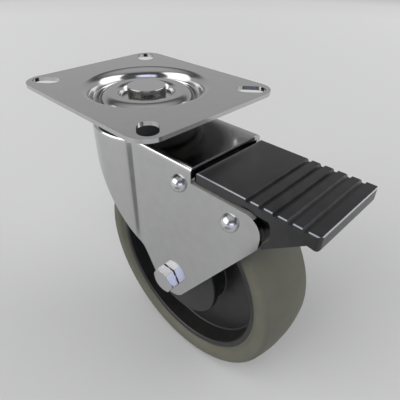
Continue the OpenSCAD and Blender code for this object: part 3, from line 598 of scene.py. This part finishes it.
# %% [markdown]
# The widths are about the radii of the real edges: 0.12 mm on the fork's tumbled sheet, 0.1 to 0.15 mm
# on the mouldings, and up to 0.2 mm on turned and sheared steel. The plate's edge stays crisp, and
# the balls and rings are round already, so these get none. The two rivets are left out of the loop,
# for they are spun anew.

# %% Edges of each piece
EDGE_MM = {
    "fork": 0.12, "kingpin": 0.2, "lock_ring": 0.2, "kingpin_nut": 0.2, "axle_bolt": 0.12,
    "axle_nut": 0.15, "rim": 0.1, "pedal_cover": 0.15, "thread_guard_near": 0.15,
    "thread_guard_far": 0.15, "lock_plate": 0.15, "pedal_lever": 0.2, "brake_shoe": 0.2,
}
RIVET_SHANK_MM = {"lock_pin": 4.4, "pedal_pin": 6.0}
for name in frame["nodes"]:
    if name not in RIVET_SHANK_MM:
        finished(name, EDGE_MM.get(name, 0.0))


# %% [markdown]
# ## Rivets
# Two long rivets cross the fork, and each shows a round head on either leg. The section comes from the
# frame's box of each rivet, which gives the head's radius and its top, and from a given head height, which
# places the face of the leg that it sits on. Spun this way it has enough facets to look round in a mirror
# finish, which the frame's solid has not.

# %% Rivets spun from a section
HEAD_HEIGHT_MM = 3.6
ARC_STEPS = 20


def arc(centre, radius, start, end):
    angles = [math.radians(start + (end - start) * i / ARC_STEPS) for i in range(ARC_STEPS + 1)]
    return [(centre[0] + radius * math.cos(a), centre[1] + radius * math.sin(a)) for a in angles]


def rivet(node, shank_mm):
    """A round head on each end of a shank."""
    low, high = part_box(node)
    head_r, head_h = (high.x - low.x) / 2, HEAD_HEIGHT_MM * MM
    leg_y = high.y - head_h
    dome_r = (head_r ** 2 + head_h ** 2) / (2 * head_h)
    rim_angle = math.degrees(math.asin((head_h - dome_r) / dome_r))
    dome = arc((0, high.y - dome_r), dome_r, -rim_angle, 90)
    half = [(shank_mm * MM / 2, leg_y), *dome]
    section = [(r, -y) for r, y in reversed(half)] + half
    shape = bmesh.new()
    spin_section(shape, section, Vector(((low.x + high.x) / 2, 0, (low.z + high.z) / 2)))
    mark_sharp_edges(shape)
    mesh = bpy.data.meshes.new(node + "_finished")
    mesh.materials.append(by_slot[slot_of[node]])
    place_piece(node, mesh, shape)
    print(node, "head:", round(2 * head_r / MM, 2), "x", round(head_h / MM, 2), "mm")


for node, shank_mm in RIVET_SHANK_MM.items():
    rivet(node, shank_mm)

# %% [markdown]
# ## Studio
# Bright metal has no colour of its own to show: it shows the room. The castor stands on a pale paper floor
# between two large soft boxes. The paper's colour carries painted shade: it is a little darker near the
# camera, as in a picture lit from behind the object. That fall could come from another lamp, but painted
# shade in the paper's colour leaves the metal's reflections alone. Further off the paper is painted
# lighter, and out of the picture it is painted darker again, where the soft boxes stand close to it and
# would make it glare.

# %% Floor
FLOOR_SIZE = 6
FLOOR_DROP_MM = 0.2
BELOW_CAMERA = (0.149, -0.114, 0)
# Painted shade and light in the paper's colour, by distance from the spot below the camera.
FLOOR_PAINTED_SHADE = [(0.05, "#c6c6c6"), (1.4, "#ebebeb"), (1.7, "#ebebeb"), (2.5, "#8e8e8e")]


def set_stops(colour_ramp, stops):
    """Fills a colour ramp with (position, colour) stops."""
    colour_ramp.elements.remove(colour_ramp.elements[1])
    for number, (position, colour) in enumerate(stops):
        stop = colour_ramp.elements.new(position) if number else colour_ramp.elements[0]
        stop.position = position
        stop.color = linear(colour)


bpy.ops.mesh.primitive_plane_add(size=FLOOR_SIZE, location=(0, 0, cad_low.z - FLOOR_DROP_MM * MM))
floor = bpy.context.object
floor.name = "floor"
floor_paper, tree, shader = new_material("floor_paper", metallic=0.0, roughness=0.6)
place = add_node(tree, "ShaderNodeTexCoord").outputs["Object"]
away = add_node(tree, "ShaderNodeVectorMath", {0: place, 1: BELOW_CAMERA}, operation="DISTANCE")
reach = FLOOR_SIZE / 2
share = add_node(tree, "ShaderNodeMapRange", {"Value": away.outputs["Value"], "From Max": reach})
painted_floor_shade = add_node(tree, "ShaderNodeValToRGB", {"Fac": share.outputs["Result"]})
set_stops(painted_floor_shade.color_ramp, [(distance / reach, colour) for distance, colour in FLOOR_PAINTED_SHADE])
tree.links.new(painted_floor_shade.outputs["Color"], shader.inputs["Base Color"])
floor.data.materials.append(floor_paper)
print("floor at z (mm):", round(floor.location.z / MM, 2))


# %% [markdown]
# A soft box or a window is placed the way a photographer thinks of it: in which direction it stands
# from the castor, and how much of the view it fills. Its power follows from its area, because what a
# mirror shows is brightness for each square metre. A real soft box is dimmer near its edges, and a
# shader on the lamp does the same, so reflections of it in the steel fade out and don't end in a line.

# %% Soft box
AIM = Vector((0.01, 0, -0.01))
LAMP_DISTANCE = 3.0
SOFT_EDGE = 0.14
PANEL_MIDDLE, PANEL_EDGE = (0.5, 0.5, 0), 0.5


def direction(azimuth, elevation):
    a, e = math.radians(azimuth), math.radians(elevation)
    return Vector((math.cos(a) * math.cos(e), math.sin(a) * math.cos(e), math.sin(e)))


def fade_edges(tree):
    """Full strength in the middle of a panel and none at its rim."""
    across = add_node(tree, "ShaderNodeNewGeometry").outputs["Parametric"]
    offset = add_node(tree, "ShaderNodeVectorMath", {0: across, 1: PANEL_MIDDLE}, operation="SUBTRACT")
    size = add_node(tree, "ShaderNodeVectorMath", {0: offset.outputs["Vector"]}, operation="ABSOLUTE")
    sides = add_node(tree, "ShaderNodeSeparateXYZ", {"Vector": size.outputs["Vector"]}).outputs
    farthest = add_node(tree, "ShaderNodeMath", {0: sides["X"], 1: sides["Y"]}, operation="MAXIMUM")
    glow = add_node(tree, "ShaderNodeMapRange", {
        "Value": farthest.outputs["Value"], "From Min": PANEL_EDGE - SOFT_EDGE, "From Max": PANEL_EDGE,
        "To Min": 1.0, "To Max": 0.0})
    tree.links.new(glow.outputs["Result"], tree.nodes["Emission"].inputs["Strength"])


def soft_box(name, azimuth, elevation, width, height, brightness, colour="#ffffff"):
    """A panel that fills width by height degrees of the castor's view, as bright as given in its middle."""
    data = bpy.data.lights.new(name, "AREA")
    data.shape = "RECTANGLE"
    data.size = 2 * LAMP_DISTANCE * math.tan(math.radians(width / 2))
    data.size_y = 2 * LAMP_DISTANCE * math.tan(math.radians(height / 2))
    data.color = linear(colour)[:3]
    data.energy = brightness * math.pi * data.size * data.size_y
    data.use_nodes = True
    fade_edges(data.node_tree)
    lamp = bpy.data.objects.new(name, data)
    towards = direction(azimuth, elevation)
    lamp.location = AIM + LAMP_DISTANCE * towards
    lamp.rotation_euler = towards.to_track_quat("Z", "Y").to_euler()
    lamp.visible_camera = False
    scene.collection.objects.link(lamp)
    print(name, "size (m):", round(data.size, 2), round(data.size_y, 2), "power:", round(data.energy, 2))
    return lamp


# %% [markdown]
# The left box lights the fork's front and the near leg, and the right box the pedal's end and the
# back. The low window is bluish, like daylight, and gives the rivets and the dish a cool glint. The
# fill stands high above the camera. It lifts the floor and the shadows, and is kept out of
# reflections, because the steel would show it.

# %% Lamps
soft_box("left_box", azimuth=-116, elevation=28, width=64, height=48, brightness=2.35)
soft_box("right_box", azimuth=47, elevation=24, width=60, height=44, brightness=2.0)
soft_box("low_window", azimuth=-39, elevation=10, width=46, height=20, brightness=2.3, colour="#dbe1ff")
fill = soft_box("front_fill", azimuth=-60, elevation=58, width=60, height=50, brightness=1.6)
fill.visible_glossy = False

# %% [markdown]
# ## Dark curtain
# Steel that mirrors only white looks like paper. A grey curtain hangs in an arc behind the camera,
# between the two boxes, and gives the round parts their dark side. An upright edge is spun part of a
# turn to make it.

# %% Curtain behind the camera
CURTAIN_FROM, CURTAIN_TO, CURTAIN_STEPS = -88, 20, 24
CURTAIN_RADIUS, CURTAIN_TOP = 3.6, 3.6
shape = bmesh.new()
corner = direction(CURTAIN_FROM, 0) * CURTAIN_RADIUS
ends = [shape.verts.new((corner.x, corner.y, z)) for z in (cad_low.z, CURTAIN_TOP)]
upright = shape.edges.new(ends)
bmesh.ops.spin(
    shape, geom=[*ends, upright], cent=(0, 0, 0), axis=(0, 0, 1), steps=CURTAIN_STEPS,
    angle=math.radians(CURTAIN_TO - CURTAIN_FROM))
mesh = bpy.data.meshes.new("curtain")
shape.to_mesh(mesh)
shape.free()
curtain = bpy.data.objects.new("curtain", mesh)
scene.collection.objects.link(curtain)
curtain_cloth, _, _ = new_material("curtain_cloth", metallic=0.0, roughness=0.9, colour="#707070")
mesh.materials.append(curtain_cloth)
curtain.visible_camera = False
print("curtain faces:", len(mesh.polygons))

# %% [markdown]
# A dark card lies on the floor under the camera, outside the picture. The bend where the fork's round
# front turns into its flat leg mirrors that part of the floor, and shows it as one dark upright stripe.
# The card is only there for reflections, so it neither darkens the floor nor shows to the camera.

# %% Dark card under the camera
CARD_LOW, CARD_HIGH = Vector((0.02, -0.30)), Vector((0.20, -0.12))
card_middle, card_size = (CARD_LOW + CARD_HIGH) / 2, CARD_HIGH - CARD_LOW
bpy.ops.mesh.primitive_plane_add(size=1)
card = bpy.context.object
card.name = "dark_card"
for corner in card.data.vertices:
    corner.co.x = card_middle.x + corner.co.x * card_size.x
    corner.co.y = card_middle.y + corner.co.y * card_size.y
    corner.co.z = cad_low.z
card_paper, _, _ = new_material("card_paper", metallic=0.0, roughness=0.8, colour="#7c7c7c")
card.data.materials.append(card_paper)
card.visible_camera = card.visible_diffuse = card.visible_shadow = False
print("card size (m):", [round(v, 2) for v in card_size])

# %% [markdown]
# ## The room
# Past the lamps stands the room itself, as the world. It is pale at the horizon and overhead and darker
# between, which draws the dark bands in the plate's dish. A picture of a real room could be used, but a
# ramp over the height of the view is enough, and each band can be set by itself. A stop's position is
# the sine of the angle above the horizon.

# %% World
WALLS = [(0.0, "#bcbcbc"), (0.44, "#bcbcbc"), (0.56, "#6e6e6e"), (0.65, "#5c5c5c"),
         (0.80, "#a8a8a8"), (0.94, "#c8c8c8")]
world = bpy.data.worlds.new("studio")
scene.world = world
world.use_nodes = True
tree = world.node_tree
place = add_node(tree, "ShaderNodeTexCoord")
height = add_node(tree, "ShaderNodeSeparateXYZ", {"Vector": place.outputs["Generated"]}).outputs["Z"]
walls = add_node(tree, "ShaderNodeValToRGB", {"Fac": height})
set_stops(walls.color_ramp, WALLS)
tree.links.new(walls.outputs["Color"], tree.nodes["Background"].inputs["Color"])
scene.view_settings.view_transform = "Standard"
print("wall tones:", len(WALLS))
